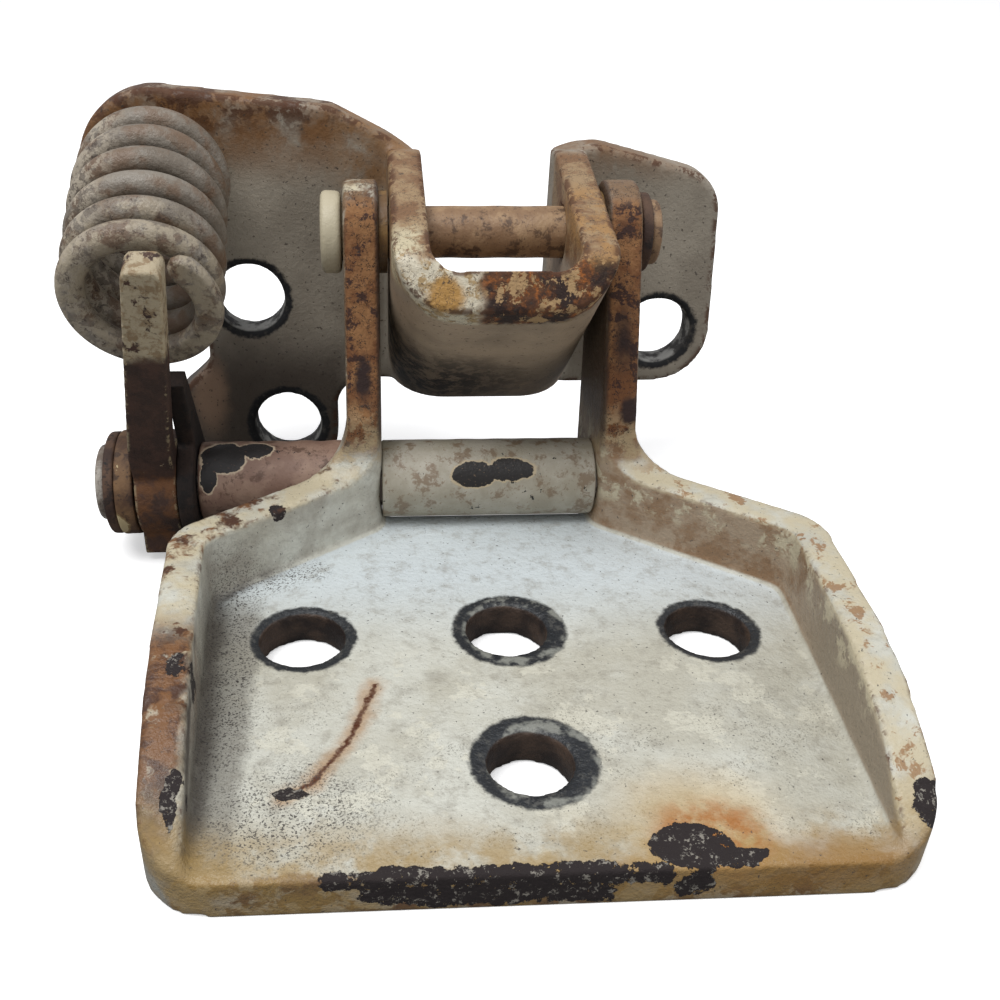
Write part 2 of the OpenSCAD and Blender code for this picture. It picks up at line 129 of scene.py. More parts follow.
def add(tree, kind, at=None, out=0, **settings):
    """Adds a node. at maps a socket's number or name to a value or to another node's output."""
    made = tree.nodes.new("ShaderNode" + kind)
    for key, value in settings.items():
        setattr(made, key, value)
    for key, value in (at or {}).items():
        if isinstance(value, bpy.types.NodeSocket):
            tree.links.new(value, made.inputs[key])
        else:
            made.inputs[key].default_value = value
    return made.outputs[out]


def calc(tree, operation, a, b=0.0):
    """One sum on two values, kept between 0 and 1."""
    return add(tree, "Math", {0: a, 1: b}, operation=operation, use_clamp=True)


def ease(tree, value, low, high):
    """0 at low, 1 at high, with a soft start and end. low may be the larger."""
    if low > high:
        ends = {0: value, 1: high, 2: low, 3: 1.0, 4: 0.0}
    else:
        ends = {0: value, 1: low, 2: high, 3: 0.0, 4: 1.0}
    return add(tree, "MapRange", ends, interpolation_type="SMOOTHSTEP")


def place_mm(tree):
    """Object coordinates in millimetres."""
    where = add(tree, "TexCoord", out="Object")
    return add(tree, "VectorMath", {0: where, "Scale": 1 / MM}, operation="SCALE")


def noise(tree, p, size, detail=4.0, rough=0.55, seed=0.0, out=0):
    """Noise whose lumps are about size millimetres across. seed moves it to another part of the pattern."""
    moved = add(tree, "VectorMath", {0: p, 1: (seed, 1.7 * seed, -seed)}, operation="ADD")
    ways = {"Vector": moved, "Scale": 1 / size, "Detail": detail, "Roughness": rough}
    return add(tree, "TexNoise", ways, out=out)


def patches(tree, p, size, low, high, seed=0.0, detail=4.0, rough=0.7):
    """Ragged patches about size millimetres across: 0 up to low in the noise and 1 from high."""
    return ease(tree, noise(tree, p, size, detail, rough, seed), low, high)


def axis(tree, p, which):
    """One coordinate of a place or a direction: 0 is X, 1 is Y and 2 is Z."""
    return add(tree, "SeparateXYZ", {0: p}, out=which)


def warp(tree, p, size, amount, seed=3.0):
    """Moves points about by amount millimetres, so that what is drawn on them gets ragged."""
    wild = noise(tree, p, size, 3.0, 0.65, seed, out=1)
    push = add(tree, "VectorMath", {0: wild, 1: (0.5, 0.5, 0.5)}, operation="SUBTRACT")
    push = add(tree, "VectorMath", {0: push, "Scale": 2 * amount}, operation="SCALE")
    return add(tree, "VectorMath", {0: p, 1: push}, operation="ADD")


def spot(tree, p, centre, radii, soft=0.35):
    """1 inside an ellipsoid with that centre and those three radii, 0 outside."""
    away = add(tree, "VectorMath", {0: p, 1: centre}, operation="SUBTRACT")
    away = add(tree, "VectorMath", {0: away, 1: radii}, operation="DIVIDE")
    reach = add(tree, "VectorMath", {0: away}, operation="LENGTH", out="Value")
    return ease(tree, reach, 1 + soft, 1 - soft)


def streak(tree, p, start, end, width, soft=0.4):
    """1 within width of the line from start to end."""
    run = Vector(end) - Vector(start)
    off = add(tree, "VectorMath", {0: p, 1: start}, operation="SUBTRACT")
    along = add(tree, "VectorMath", {0: off, 1: tuple(run)}, operation="DOT_PRODUCT", out="Value")
    share = calc(tree, "MULTIPLY", along, 1 / run.length_squared)
    back = add(tree, "VectorMath", {0: tuple(run), "Scale": share}, operation="SCALE")
    gap = add(tree, "VectorMath", {0: off, 1: back}, operation="SUBTRACT")
    reach = add(tree, "VectorMath", {0: gap}, operation="LENGTH", out="Value")
    return ease(tree, reach, width * (1 + soft), width * (1 - soft))


ALONG_Z = (1, 1, 0)
ALONG_Y = (1, 0, 1)


def ring(tree, p, centre, keep, inner, outer, soft=0.35):
    """1 between two radii round a hole. keep is ALONG_Z or ALONG_Y, the way that the hole runs."""
    off = add(tree, "VectorMath", {0: p, 1: centre}, operation="SUBTRACT")
    flat = add(tree, "VectorMath", {0: off, 1: keep}, operation="MULTIPLY")
    reach = add(tree, "VectorMath", {0: flat}, operation="LENGTH", out="Value")
    inside = ease(tree, reach, outer + soft, outer - soft)
    if inner <= 0:
        return inside
    return calc(tree, "MULTIPLY", inside, ease(tree, reach, inner - soft, inner + soft))


def both(tree, *masks):
    """The product of several masks."""
    made = masks[0]
    for mask in masks[1:]:
        made = calc(tree, "MULTIPLY", made, mask)
    return made


def any_of(tree, *masks):
    """The largest of several masks."""
    made = masks[0]
    for mask in masks[1:]:
        made = calc(tree, "MAXIMUM", made, mask)
    return made


def over(tree, mask, under, top):
    """top laid over under where the mask is 1."""
    colours = {6: under if not isinstance(under, str) else linear(under),
               7: top if not isinstance(top, str) else linear(top), 0: mask}
    return add(tree, "Mix", colours, out=2, data_type="RGBA")


def abs_side(tree, p):
    """Distance from the middle of the hinge, along X."""
    side = axis(tree, p, 0)
    return add(tree, "Math", {0: side}, operation="ABSOLUTE")


def over_value(tree, mask, low, high):
    """A value that goes from low to high as the mask goes from 0 to 1."""
    return add(tree, "MapRange", {0: mask, 1: 0.0, 2: 1.0, 3: low, 4: high})


def new_tree(name):
    """A new material and its node tree."""
    made = bpy.data.materials.new(name)
    made.use_nodes = True
    return made, made.node_tree


def finish(tree, colour, rough, height, depth=0.25):
    """Joins colour, roughness and a height in millimetres times depth to the shader."""
    shader = tree.nodes["Principled BSDF"]
    for key, value in (("Base Color", colour), ("Roughness", rough)):
        if isinstance(value, bpy.types.NodeSocket):
            tree.links.new(value, shader.inputs[key])
        else:
            shader.inputs[key].default_value = value
    bump = add(tree, "Bump", {"Strength": 1.0, "Distance": depth * MM, "Height": height}, out="Normal")
    tree.links.new(bump, shader.inputs["Normal"])


def edge_mask(tree, low, high):
    """1 on outward edges of a finely meshed piece, where paint wears off first."""
    return ease(tree, add(tree, "NewGeometry", out="Pointiness"), low, high)


# ---------------------------------------------------------------- shared looks
RUST_DARK = "2b1a15"
RUST_BROWN = "5f3a20"
RUST_ORANGE = "9a5a24"


def rust(tree, p, seed=0.0):
    """Rusted steel: dark purple-brown scale broken by orange and ochre bloom."""
    bloom = ease(tree, noise(tree, p, 5.0, 6.0, 0.6, seed + 11), 0.42, 0.6)
    fine = ease(tree, noise(tree, p, 0.9, 4.0, 0.6, seed + 5), 0.45, 0.65)
    colour = over(tree, bloom, RUST_DARK, RUST_BROWN)
    colour = over(tree, both(tree, bloom, fine), colour, RUST_ORANGE)
    return colour


def specks(tree, p, size, share, seed=0.0):
    """Small pits or dots about size millimetres across, more of them as share goes from 0 to 1."""
    level = 0.72 - 0.22 * share
    return ease(tree, noise(tree, p, size, 3.0, 0.6, seed), level, level + 0.05)


def door_fields(t):
    """What the door plate's marks are drawn from: places, plain and ragged, and the way a face looks."""
    p = place_mm(t)
    q = warp(t, p, 4.0, 1.6)
    normal = add(t, "TexCoord", out="Normal")
    return SimpleNamespace(
        p=p, q=q, r=warp(t, p, 1.6, 0.7, 8.0),
        facing=axis(t, normal, 2),
        ahead=axis(t, normal, 1),
        level=axis(t, p, 2),
        depth=axis(t, q, 1),
        side=axis(t, q, 0))


def door_ground(t, f):
    """Paint of the floor: cool and pale at the back, warmer and dusty towards the front."""
    p, depth = f.p, f.depth
    flat = both(t, ease(t, f.facing, 0.75, 0.95), ease(t, f.level, 7.0, 6.0))
    colour = over(t, patches(t, p, 14.0, 0.35, 0.65, detail=5.0, rough=0.6), "cfcfc4", "bdbaab")
    colour = over(t, both(t, ease(t, depth, -6.0, 16.0), flat), colour, "d0d8da")
    blotches = patches(t, p, 7.0, 0.56, 0.6, 21, rough=0.65)
    colour = over(t, both(t, blotches, flat, ease(t, depth, 2.0, -12.0), 0.55), colour, "dad7c6")
    dirt = patches(t, p, 3.0, 0.47, 0.72, 33, rough=0.75)
    colour = over(t, both(t, dirt, 0.45), colour, "8d877a")
    dusty = both(t, specks(t, p, 0.26, 0.7, 61), flat, ease(t, depth, -4.0, -22.0))
    dusty = both(t, dusty, patches(t, p, 6.0, 0.4, 0.62, 39, detail=3.0, rough=0.6), 0.6)
    colour = over(t, dusty, colour, "5f5a50")
    return colour


def door_rims(t, f, colour):
    """Walls and rims: brown at the right, grey at the left, painted shade over the left end and in the bends
    of the left corners. Gives the rim's stain too.
    """
    p, q, facing, level, depth, side = f.p, f.q, f.facing, f.level, f.depth, f.side
    wall = both(t, ease(t, facing, 0.7, 0.35), ease(t, level, 5.5, 6.5))
    tan = over(t, patches(t, q, 7.0, 0.4, 0.62, 37), "a5927c", "8a6d50")
    tan = over(t, ease(t, depth, 4.0, -12.0), tan, "978a78")
    tan = over(t, both(t, patches(t, q, 5.0, 0.5, 0.6, 58), ease(t, level, 10.0, 13.0)), tan, "c3b99f")
    colour = over(t, both(t, wall, ease(t, side, 0.0, 12.0)), colour, tan)
    colour = over(t, both(t, wall, ease(t, side, 0.0, -12.0), patches(t, p, 9.0, 0.35, 0.7, 4, rough=0.6)),
                  colour, "9c968a")
    rim = both(t, ease(t, facing, 0.5, 0.8), ease(t, level, 6.5, 8.0))
    rim = any_of(t, rim, both(t, edge_mask(t, 0.505, 0.54), ease(t, level, 6.0, 9.0)))
    colour = over(t, both(t, rim, patches(t, p, 6.0, 0.35, 0.6, 40, rough=0.6)), colour, "c6bb9f")
    stain = both(t, rim, patches(t, q, 6.0, 0.5, 0.62, 61), ease(t, side, 30.0, -20.0))
    orange = both(t, rim, ease(t, side, 20.0, 30.0), patches(t, q, 4.0, 0.56, 0.62, 93, rough=0.75))
    colour = over(t, both(t, orange, 0.8), colour, "93683c")
    low_left = both(t, ease(t, level, 6.5, 8.0), ease(t, side, -41.0, -43.0), ease(t, depth, -6.0, -16.0))
    low_left = both(t, low_left, patches(t, q, 5.0, 0.3, 0.44, 2, detail=5.0))
    brown = over(t, patches(t, q, 3.0, 0.42, 0.6, 12), "7a5433", "4c3020")
    colour = over(t, any_of(t, stain, low_left), colour, brown)
    dark_foot = any_of(t, streak(t, q, (-43.4, -12, 14.5), (-42.4, -24, 13), 1.3, 0.6),
                       streak(t, q, (-42.4, -24, 13), (-40.6, -40, 6.5), 1.6, 0.6))
    colour = over(t, both(t, dark_foot, patches(t, q, 4.0, 0.34, 0.46, 71)), colour, "33251e")
    # painted shade: the left end of the floor and the foot of the left wall, darker towards the bottom and
    # front
    left_side_shade = both(t, ease(t, side, -34.5, -36.5), ease(t, level, 14.0, 6.0), ease(t, depth, 12.0, 4.0))
    colour = over(t, both(t, left_side_shade, 0.7), colour, "7d7970")
    # painted shade in the bend where the floor meets the left wall and the back left wall
    corner = any_of(t, streak(t, q, (-40.5, -42, 5.5), (-43, 9, 5.5), 1.6, 0.9),
                    streak(t, q, (-43, 9, 5.5), (-33, 18, 5.5), 1.0, 0.9))
    corner = both(t, ease(t, level, 10.0, 6.0), corner)
    colour = over(t, both(t, corner, 0.8), colour, "4b443c")
    lip = both(t, ease(t, depth, -41.8, -43.0), ease(t, level, 6.5, 5.0))
    colour = over(t, both(t, lip, 0.85), colour, "a89a82")
    colour = over(t, both(t, lip, patches(t, q, 4.0, 0.44, 0.53, 83)), colour, "6c4f35")
    return colour, stain


def door_stains(t, f, colour):
    """Brown stains on the floor: along the front edge and round the big blotch."""
    q, r, depth = f.q, f.r, f.depth
    front = both(t, ease(t, depth, -33.0, -41.0), patches(t, q, 8.0, 0.34, 0.6, 17, rough=0.65))
    colour = over(t, both(t, front, 0.75), colour, "a1844c")
    right_front = spot(t, q, (28, -43, 5.0), (17, 3.6, 4), 0.6)
    colour = over(t, both(t, right_front, 0.7), colour, "946c35")
    halo = spot(t, q, (18.5, -36.5, 5.5), (8.5, 7.0, 4), 0.7)
    colour = over(t, both(t, halo, 0.55), colour, "c4a466")
    ember = spot(t, q, (19.5, -38.4, 5.5), (6.4, 4.6, 4), 0.45)
    ember = both(t, ember, patches(t, r, 3.0, 0.3, 0.6, 29, rough=0.6))
    colour = over(t, both(t, ember, 0.85), colour, "a5631f")
    return colour


def door_arms(t, f, colour):
    """Arms: rust on the cut edges, cream left between, painted shade on the inner faces. Also gives where the
    cut edge is.
    """
    p, q, r, level, depth, ahead = f.p, f.q, f.r, f.level, f.depth, f.ahead
    arm = both(t, ease(t, level, 18.0, 24.0), ease(t, depth, 20.0, 25.0))
    cut_face = both(t, arm, ease(t, ahead, -0.45, -0.75))
    colour = over(t, both(t, arm, patches(t, q, 7.0, 0.32, 0.5, 9, rough=0.65)), colour, "7c6248")
    burnt = over(t, patches(t, q, 6.0, 0.38, 0.6, 52, rough=0.65), "8f6640", "6e4526")
    burnt = over(t, patches(t, r, 3.0, 0.54, 0.6, 71), burnt, "3d241b")
    colour = over(t, cut_face, colour, burnt)
    pale_foot = both(t, ease(t, level, 30.0, 22.0), ease(t, level, 16.0, 20.0), ease(t, depth, 19.0, 23.0),
                     patches(t, r, 3.0, 0.42, 0.56, 6))
    colour = over(t, both(t, pale_foot, 0.8), colour, "b09c7a")
    blots = any_of(t, *[spot(t, q, c, s, 0.3) for c, s in (
        ((-20.3, 30, 52), (2.6, 6, 5)), ((20.5, 29, 40), (2.4, 5, 7)), ((21.7, 29, 27), (1.6, 3, 2.0)),
        ((20, 32, 54), (2.4, 6, 3)), ((-20.3, 29, 33), (1.6, 3, 4)))])
    colour = over(t, both(t, blots, arm), colour, "2e1d1a")
    lines = add(t, "Math", {0: noise(t, r, 2.4, 4.0, 0.7, 88), 1: 0.5}, operation="SUBTRACT")
    lines = ease(t, add(t, "Math", {0: lines}, operation="ABSOLUTE"), 0.012, 0.005)
    colour = over(t, both(t, lines, arm), colour, "2b1b14")
    # painted shade on the arms' inner faces, which face each other across the gap
    inner = both(t, arm, ease(t, abs_side(t, p), 18.4, 17.8))
    colour = over(t, both(t, inner, 0.8), colour, "3e3028")
    return colour, cut_face


def door_seam(t, f, colour):
    """The rust seam that runs down the floor."""
    p, q = f.p, f.q
    bends = ((-19.2, -10.8), (-21.5, -18.0), (-23.1, -22.2), (-27.3, -29.0), (-30.8, -30.8))
    seam = [(x, y, PLATE) for x, y in bends]
    torn = warp(t, p, 1.2, 0.75, 5.0)
    wide = any_of(t, *[streak(t, q, a, b, 1.2, 0.9) for a, b in zip(seam, seam[1:])])
    thin = any_of(t, *[streak(t, torn, a, b, 0.36, 0.6) for a, b in zip(seam, seam[1:])])
    colour = over(t, both(t, wide, 0.62), colour, "a8783f")
    colour = over(t, both(t, thin, over_value(t, noise(t, p, 1.5, 3.0, 0.6, 2), 0.6, 1.3)), colour, "532b15")
    return colour


def door_peel(t, f, colour):
    """Peeled places, worn edges and pits. Also gives where the paint is off and where it is dark."""
    p, q, r, level = f.p, f.q, f.r, f.level
    chips = [spot(t, r, (-29.6, -30.4, 5.5), (2.3, 1.0, 2.0)),
             spot(t, q, (16.8, -40.2, 5.5), (5.0, 3.5, 3.0), 0.15),
             spot(t, q, (21.5, -42.0, 5.5), (3.5, 1.6, 2.5), 0.15),
             streak(t, q, (-25, -43.2, 5.0), (13, -43.4, 4.6), 1.4, 0.45),
             streak(t, q, (-20, -43.6, 2.6), (6, -43.6, 2.2), 1.8, 0.5),
             spot(t, q, (16.5, -43.6, 2.8), (2.6, 2.0, 2.0), 0.2),
             spot(t, q, (-43.8, -18.5, 13.0), (2.6, 3.6, 3.6), 0.2),
             spot(t, q, (-42.3, -35.0, 9.0), (1.2, 4.0, 3.5), 0.2),
             spot(t, q, (45.0, -38.5, 9.0), (2.5, 3.0, 3.0), 0.2),
             spot(t, r, (-33.6, 17.5, 16.0), (1.5, 1.3, 1.5), 0.2)]
    torn_edge = patches(t, p, 1.7, 0.38, 0.7, 47, detail=5.0, rough=0.8)
    peel = ease(t, calc(t, "SUBTRACT", any_of(t, *chips), both(t, torn_edge, 0.62)), 0.4, 0.47)
    gritty = any_of(t, spot(t, q, (-40, -6, 6), (5, 26, 9), 0.5),
                    streak(t, q, (-40, 10, 6), (-28, 17, 6), 2.2, 0.6),
                    both(t, spot(t, q, (-30, -34, 5.5), (10, 8, 4), 0.5), 0.9))
    grit = both(t, specks(t, p, 0.28, 0.78, 14), gritty)
    sparse = specks(t, p, 0.6, 0.28, 90)
    wear = both(t, edge_mask(t, 0.52, 0.56), patches(t, q, 3.0, 0.52, 0.58, 19))
    dark = any_of(t, peel, both(t, wear, 0.85))
    colour = over(t, peel, colour, over(t, patches(t, r, 1.6, 0.56, 0.63, 3, rough=0.8), "241c1c", "8a857c"))
    colour = over(t, both(t, wear, ease(t, level, 5.0, 7.0)), colour, "5b3a26")
    colour = over(t, any_of(t, grit, both(t, sparse, 0.8)), colour, "3c3835")
    return colour, peel, dark


def door_holes(t, f, colour):
    """Bare rings where bolt flanges have been, and the dark bores."""
    p, q, r, facing, level = f.p, f.q, f.r, f.facing, f.level
    rings = any_of(t, *[ring(t, r, c, ALONG_Z, 0, h) for c, h in (
        ((-29.3, -0.2, 0), 7.6), ((29.7, -0.2, 0), 7.5), ((0.4, 0.8, 0), 8.4), ((0.5, -26, 0), 8.2))])
    bare = both(t, rings, ease(t, level, 8.5, 7.5))
    scuffed = patches(t, p, 1.3, 0.5, 0.66, 27, rough=0.75)
    bright = any_of(t, ring(t, q, (1.8, 0.6, 0), ALONG_Z, 6.2, 8.2),
                    ring(t, q, (2.2, -26.5, 0), ALONG_Z, 6.0, 7.6))
    colour = over(t, bare, colour, over(t, scuffed, "25282c", "4c4c4a"))
    bright = both(t, bright, bare, patches(t, p, 2.0, 0.4, 0.6, 9, detail=3.0, rough=0.6))
    colour = over(t, bright, colour, "85867f")
    bores = any_of(t, *[ring(t, p, c, ALONG_Z, 0, h, 0.15) for c, h in (
        ((-29.5, 0, 0), 6.25), ((29.5, 0, 0), 6.25), ((0, 1.1, 0), 6.05), ((0, -26, 0), 5.65))])
    bores = both(t, bores, ease(t, facing, 0.8, 0.5))
    bore_brown = over(t, patches(t, p, 5.0, 0.35, 0.65, 6, detail=3.0, rough=0.5), "2e2623", "55453a")
    colour = over(t, bores, colour, bore_brown)
    return colour


def door_paint():
    """Old cream paint on pressed steel: bluish where clean, brown on the rims, black where it has peeled."""
    made, t = new_tree("door_cream_paint_over_rusted_pressed_steel")
    f = door_fields(t)
    colour, stain = door_rims(t, f, door_ground(t, f))
    colour, cut_face = door_arms(t, f, door_stains(t, f, colour))
    colour, peel, dark = door_peel(t, f, door_seam(t, f, colour))
    colour = door_holes(t, f, colour)
    height = add(t, "Math", {0: noise(t, f.p, 0.9, 3.0, 0.7), 1: peel}, operation="SUBTRACT")
    finish(t, colour, over_value(t, any_of(t, dark, stain, cut_face), 0.42, 0.85), height, 0.3)
    return made


BODY_BORE = 6.2  # just past the radius of the bolt holes in the wings


def body_fields(t):
    """Places that the body plate's marks are drawn from, plain and ragged, with a ragged X, Y and Z."""
    p = place_mm(t)
    q = warp(t, p, 4.0, 1.6)
    x, y, z = (axis(t, q, k) for k in range(3))
    return SimpleNamespace(p=p, q=q, r=warp(t, p, 1.5, 0.8, 8.0), x=x, y=y, z=z)


def body_wings(t, f):
    """The wings: grey-beige, brown at the top and by the folds, darker low at the left with painted shade."""
    p, q, x, z = f.p, f.q, f.x, f.z
    colour = over(t, patches(t, p, 12.0, 0.35, 0.65, detail=5.0, rough=0.6), "a59c8d", "8e8577")
    top = both(t, ease(t, z, 52.0, 63.0), patches(t, q, 9.0, 0.3, 0.58, 7, rough=0.65))
    colour = over(t, top, colour, "79542f")
    colour = over(t, both(t, ease(t, z, 60.0, 66.0), patches(t, q, 5.0, 0.45, 0.55, 9)), colour, "4f3018")
    # darker brown paint low at the left, deepened with painted shade towards the bottom
    low = both(t, ease(t, z, 32.0, 18.0), ease(t, x, -20.0, -26.0))
    colour = over(t, both(t, low, 0.85), colour, "40362f")
    colour = over(t, spot(t, q, (-48.5, 60, 16), (3, 3, 7), 0.6), colour, "9a7f69")
    fold = both(t, ease(t, x, -28.0, -20.0), ease(t, x, 0.0, -4.0), ease(t, z, 48.0, 58.0))
    fold = both(t, fold, patches(t, q, 6.0, 0.35, 0.6, 14, detail=5.0, rough=0.6))
    colour = over(t, fold, colour, "8a6742")
    return colour


def body_bracket(t, f, colour):
    """The bracket: a grey-brown face with painted shade low at the left, and brown flanges. Gives the flanges
    too.
    """
    p, q, r, x, y, z = f.p, f.q, f.r, f.x, f.y, f.z
    face = both(t, ease(t, y, 58.0, 55.0), ease(t, z, 49.0, 45.0))
    face_grey = over(t, patches(t, p, 10.0, 0.35, 0.65, 2, detail=5.0, rough=0.6), "ae9982", "94826e")
    colour = over(t, face, colour, face_grey)
    # painted shade over the lower left of the face: first in patches, then an even darkening
    shade = spot(t, q, (-12, 48, 28), (17, 12, 11), 0.6)
    patchy_shade = patches(t, q, 2.5, 0.4, 0.56, 31, rough=0.75)
    colour = over(t, both(t, face, shade, patchy_shade), colour, "2c2521")
    colour = over(t, calc(t, "MULTIPLY", both(t, face, shade), 0.35), colour, "2c2521")
    flange = both(t, ease(t, y, 57.0, 54.0), ease(t, z, 46.0, 50.0))
    flange_brown = over(t, patches(t, q, 5.0, 0.4, 0.6, 44, rough=0.65), "9c8261", "7d5c3e")
    colour = over(t, flange, colour, flange_brown)
    creamy = both(t, ease(t, x, -10.5, -12.5), ease(t, z, 47.0, 49.0), ease(t, y, 34.0, 28.0),
                  patches(t, r, 3.0, 0.4, 0.5, 64))
    colour = over(t, both(t, flange, creamy), colour, "c4b899")
    return colour, flange


def body_cut_edge(t, f, colour, flange):
    """The bracket's front edge: torn cream paint on the left, bare rust on the right. Then wear and pits.
    Also gives the rusted part of the edge and the wear."""
    p, q, r, x, y, z = f.p, f.q, f.r, f.x, f.y, f.z
    cut = ease(t, y, 24.6, 23.6)
    left = ease(t, x, -2.5, -4.5)
    cream = over(t, patches(t, r, 2.2, 0.48, 0.6, 5, rough=0.75), "d3cab4", "a98f66")
    colour = over(t, both(t, cut, left), colour, cream)
    rim_paint = edge_mask(t, 0.505, 0.53)
    right = both(t, cut, ease(t, x, -4.0, -2.0))
    colour = over(t, right, colour, rust(t, r, 9.0))
    colour = over(t, both(t, right, patches(t, r, 3.0, 0.53, 0.57, 63)), colour, "a98a62")
    bloom = both(t, cut, spot(t, q, (-8.5, 22, 48.5), (2.8, 3, 2.5), 0.3))
    colour = over(t, bloom, colour, "b08648")
    top_rust = both(t, ease(t, z, 51.5, 54.0), ease(t, y, 46.0, 40.0), ease(t, x, 6.0, 10.0))
    colour = over(t, both(t, top_rust, patches(t, r, 4.0, 0.4, 0.55, 70)), colour, "a07a4c")
    torn_lines = add(t, "Math", {0: noise(t, r, 2.6, 4.0, 0.7, 13), 1: 0.5}, operation="SUBTRACT")
    cracks = both(t, ease(t, add(t, "Math", {0: torn_lines}, operation="ABSOLUTE"), 0.012, 0.005), 0.8)
    cracks = both(t, cracks, any_of(t, both(t, cut, left), flange))
    colour = over(t, cracks, colour, "4a3826")
    wear = both(t, rim_paint, patches(t, q, 3.0, 0.47, 0.54, 19))
    colour = over(t, both(t, wear, 0.85), colour, "53331f")
    dots = specks(t, p, 0.7, 0.42, 12)
    colour = over(t, both(t, dots, 0.75), colour, "3a322b")
    return colour, right, wear


def body_holes(t, f, colour):
    """Bolt holes: black rings, worn bright inside. Also gives where the rings are."""
    p, r, y = f.p, f.r, f.y
    holes = (((-40, 0, 34), 7.4), ((-34.5, 0, 9.5), 7.7), ((33, 0, 27.5), 7.4))
    rings = any_of(t, *[ring(t, r, c, ALONG_Y, 0, h) for c, h in holes])
    rings = both(t, rings, ease(t, y, 57.0, 58.5))
    colour = over(t, rings, colour, over(t, patches(t, p, 1.5, 0.5, 0.7, 8, detail=5.0), "1f2022", "45423e"))
    bores = any_of(t, *[ring(t, p, c, ALONG_Y, 0, BODY_BORE, 0.15) for c, h in holes])
    bores = both(t, bores, ease(t, y, 57.0, 58.5))
    colour = over(t, bores, colour, over(t, patches(t, p, 3.0, 0.42, 0.6, 6, rough=0.6), "3a3837", "9b9a96"))
    return colour, rings


def body_paint():
    """Grey-beige paint gone brown near the folds, with rust and torn cream paint on the bracket's edge."""
    made, t = new_tree("body_grey_beige_paint_over_rusted_pressed_steel")
    f = body_fields(t)
    colour, flange = body_bracket(t, f, body_wings(t, f))
    colour, right, wear = body_cut_edge(t, f, colour, flange)
    colour, rings = body_holes(t, f, colour)
    torn = both(t, ease(t, axis(t, f.p, 1), 24.6, 23.6), noise(t, f.p, 1.8, 4.0, 0.75, 5))
    grain = both(t, noise(t, f.p, 0.8, 3.0, 0.7), 0.4)
    height = add(t, "Math", {0: grain, 1: torn}, operation="ADD")
    rough = over_value(t, any_of(t, wear, right, rings), 0.5, 0.8)
    finish(t, colour, rough, height, 0.35)
    return made


def stained_steel(name, pale, mid, dark, seed, gloss=0.55, chips=(), chip_colour="1d1917", rim="b7a78a",
                  head=None):
    """Painted or plated round steel gone brown: three tones in lumps, dark chips with a torn pale rim.
    head is a place along X and the colour of what lies to the left of it."""
    made, t = new_tree(name)
    p = place_mm(t)
    q = warp(t, p, 2.5, 0.9, seed)
    colour = over(t, patches(t, q, 6.0, 0.36, 0.62, seed, rough=0.65), pale, mid)
    colour = over(t, both(t, patches(t, q, 3.0, 0.52, 0.62, seed + 7), 0.8), colour, dark)
    found = patches(t, q, 2.0, 0.66, 0.68, seed + 20)
    if chips:
        marks = any_of(t, *[spot(t, q, c, s, 0.3) for c, s in chips])
        colour = over(t, ease(t, marks, 0.15, 0.4), colour, rim)
        found = any_of(t, found, ease(t, marks, 0.5, 0.6))
    colour = over(t, found, colour, chip_colour)
    dots = specks(t, p, 0.5, 0.4, seed + 3)
    colour = over(t, both(t, dots, 0.6), colour, dark)
    if head:
        cap = ease(t, axis(t, p, 0), head[0] + 0.3, head[0] - 0.3)
        colour = over(t, cap, colour, head[1])
    finish(t, colour, gloss, noise(t, p, 0.7, 3.0, 0.7, seed), 0.12)
    return made


def lever_paint():
    """Chipped cream paint on the lever's upper end, dark brown rust below and on the hub."""
    made, t = new_tree("lever_cream_paint_left_on_dark_rusted_steel")
    p = place_mm(t)
    r = warp(t, p, 1.8, 1.0, 6.0)
    z = axis(t, r, 2)
    colour = over(t, patches(t, r, 4.0, 0.4, 0.6, 5, rough=0.65), "4a3329", "382720")
    hub = both(t, ease(t, z, 20.0, 16.0), patches(t, r, 5.0, 0.42, 0.6, 2, detail=5.0, rough=0.6))
    colour = over(t, hub, colour, "6b4527")
    kept = any_of(t, both(t, ease(t, z, 39.5, 41.5), patches(t, r, 4.0, 0.62, 0.56, 24)),
                  patches(t, r, 3.0, 0.67, 0.7, 84, rough=0.75))
    colour = over(t, kept, colour, over(t, patches(t, r, 1.5, 0.45, 0.62, 3), "b3a58a", "8d7759"))
    edge = both(t, edge_mask(t, 0.51, 0.54), patches(t, r, 1.5, 0.5, 0.56, 8, detail=5.0))
    colour = over(t, both(t, edge, 0.6), colour, "a89878")
    height = noise(t, p, 0.7, 3.0, 0.75)
    finish(t, colour, over_value(t, kept, 0.75, 0.5), height, 0.3)
    return made


